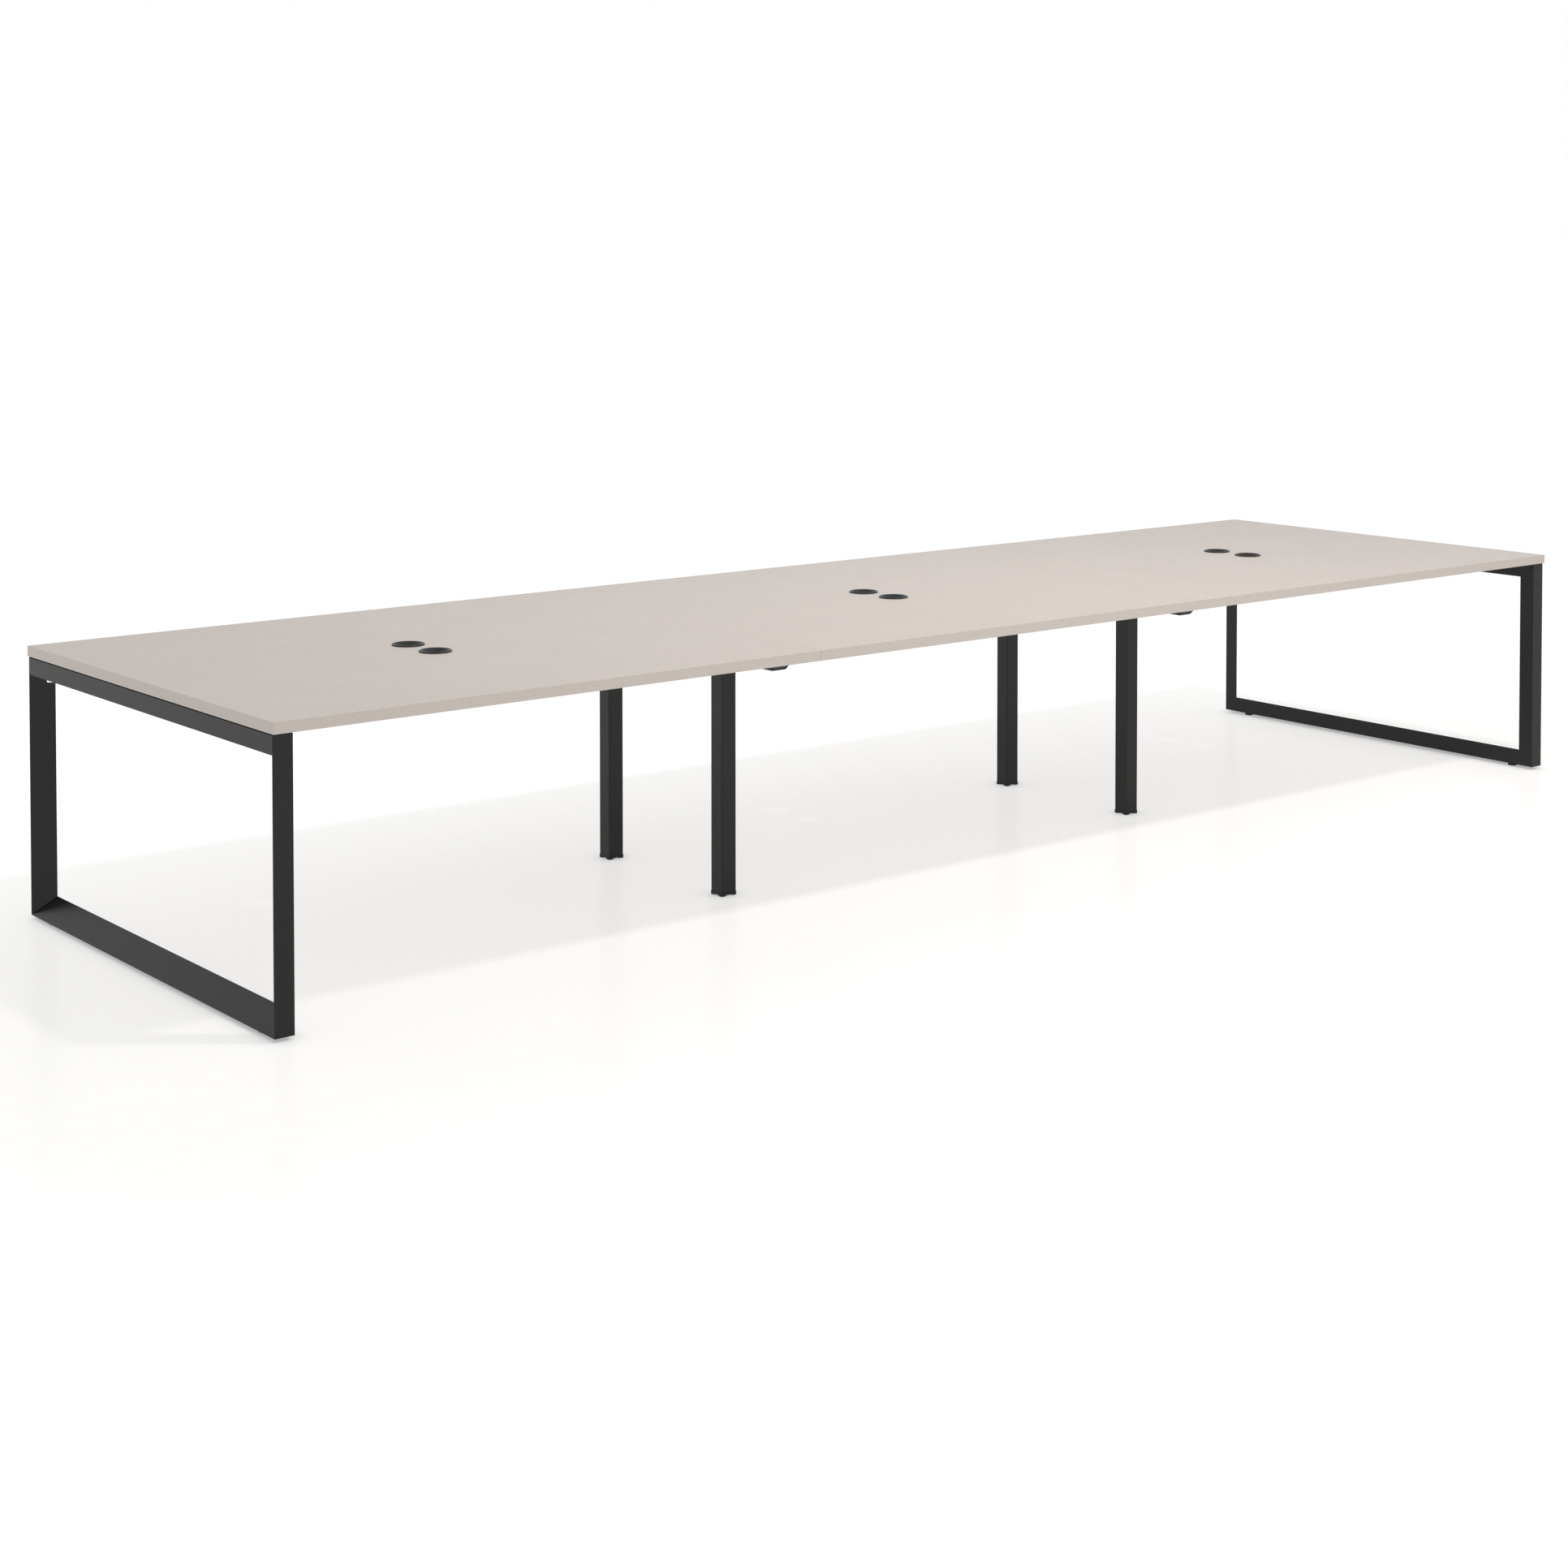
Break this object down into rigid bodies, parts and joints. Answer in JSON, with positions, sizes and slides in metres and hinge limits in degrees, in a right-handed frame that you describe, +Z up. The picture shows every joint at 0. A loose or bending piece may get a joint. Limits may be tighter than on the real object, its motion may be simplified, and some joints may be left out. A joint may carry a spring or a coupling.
{
  "type": "bench desk",
  "caption": "Long shared bench desk: pale boards end to end on black loop end frames and square inner legs, with round cable ports and levelling feet.",
  "frame": {"origin": "on the floor, under the centre of the desk top", "axes": "+X along the desk's length, +Y across it away from the near long side, +Z up"},
  "size_m": [4.8, 1.4, 0.739],
  "materials": {
    "melamine_board": "fine-grained melamine, warm light grey",
    "edge_band": "satin edge band in the board's colour",
    "black_powder_coat": "fine matt powder coat",
    "black_moulding": "satin moulded plastic",
    "zinc_plated_steel": "bright zinc"
  },
  "bodies": {
    "desk": {"top_left": "melamine_board", "edge_band_left": "edge_band", "top_middle": "melamine_board", "edge_band_middle": "edge_band", "top_right": "melamine_board", "edge_band_right": "edge_band", "port_ring_left_front": "black_moulding", "port_ring_left_rear": "black_moulding", "port_ring_middle_front": "black_moulding", "port_ring_middle_rear": "black_moulding", "port_ring_right_front": "black_moulding", "port_ring_right_rear": "black_moulding", "left_frame_top_rail": "black_powder_coat", "left_frame_front_post": "black_powder_coat", "left_frame_rear_post": "black_powder_coat", "left_frame_bottom_rail": "black_powder_coat", "crossbeam_left": "black_powder_coat", "right_frame_top_rail": "black_powder_coat", "right_frame_front_post": "black_powder_coat", "right_frame_rear_post": "black_powder_coat", "right_frame_bottom_rail": "black_powder_coat", "crossbeam_right": "black_powder_coat", "leg_left_front": "black_powder_coat", "leg_left_rear": "black_powder_coat", "leg_right_front": "black_powder_coat", "leg_right_rear": "black_powder_coat", "beam_left_front": "black_powder_coat", "beam_left_rear": "black_powder_coat", "beam_middle_front": "black_powder_coat", "beam_middle_rear": "black_powder_coat", "beam_right_front": "black_powder_coat", "beam_right_rear": "black_powder_coat", "beam_end_plates": "black_powder_coat", "leg_top_plates": "black_powder_coat", "leg_plugs": "black_moulding", "crossbeam_end_caps": "black_moulding", "rail_strips": "black_moulding", "spacers": "black_moulding", "glide_nuts": "zinc_plated_steel", "leg_bolts": "zinc_plated_steel", "beam_bolts": "zinc_plated_steel", "beam_nuts": "zinc_plated_steel", "board_screws": "zinc_plated_steel"},
    "glide_left_front": {"glide_left_front": "black_moulding"},
    "glide_left_rear": {"glide_left_rear": "black_moulding"},
    "glide_right_front": {"glide_right_front": "black_moulding"},
    "glide_right_rear": {"glide_right_rear": "black_moulding"},
    "foot_left_front": {"foot_left_front": "black_moulding"},
    "foot_left_rear": {"foot_left_rear": "black_moulding"},
    "foot_right_front": {"foot_right_front": "black_moulding"},
    "foot_right_rear": {"foot_right_rear": "black_moulding"}
  },
  "joints": [
    {"name": "glide_left_front_level", "type": "slide", "parent": "desk", "child": "glide_left_front", "axis": [0, 0, -1], "range_m": [0, 0.01]},
    {"name": "glide_left_rear_level", "type": "slide", "parent": "desk", "child": "glide_left_rear", "axis": [0, 0, -1], "range_m": [0, 0.01]},
    {"name": "glide_right_front_level", "type": "slide", "parent": "desk", "child": "glide_right_front", "axis": [0, 0, -1], "range_m": [0, 0.01]},
    {"name": "glide_right_rear_level", "type": "slide", "parent": "desk", "child": "glide_right_rear", "axis": [0, 0, -1], "range_m": [0, 0.01]},
    {"name": "foot_left_front_level", "type": "slide", "parent": "desk", "child": "foot_left_front", "axis": [0, 0, -1], "range_m": [0, 0.015]},
    {"name": "foot_left_rear_level", "type": "slide", "parent": "desk", "child": "foot_left_rear", "axis": [0, 0, -1], "range_m": [0, 0.015]},
    {"name": "foot_right_front_level", "type": "slide", "parent": "desk", "child": "foot_right_front", "axis": [0, 0, -1], "range_m": [0, 0.015]},
    {"name": "foot_right_rear_level", "type": "slide", "parent": "desk", "child": "foot_right_rear", "axis": [0, 0, -1], "range_m": [0, 0.015]}
  ]
}
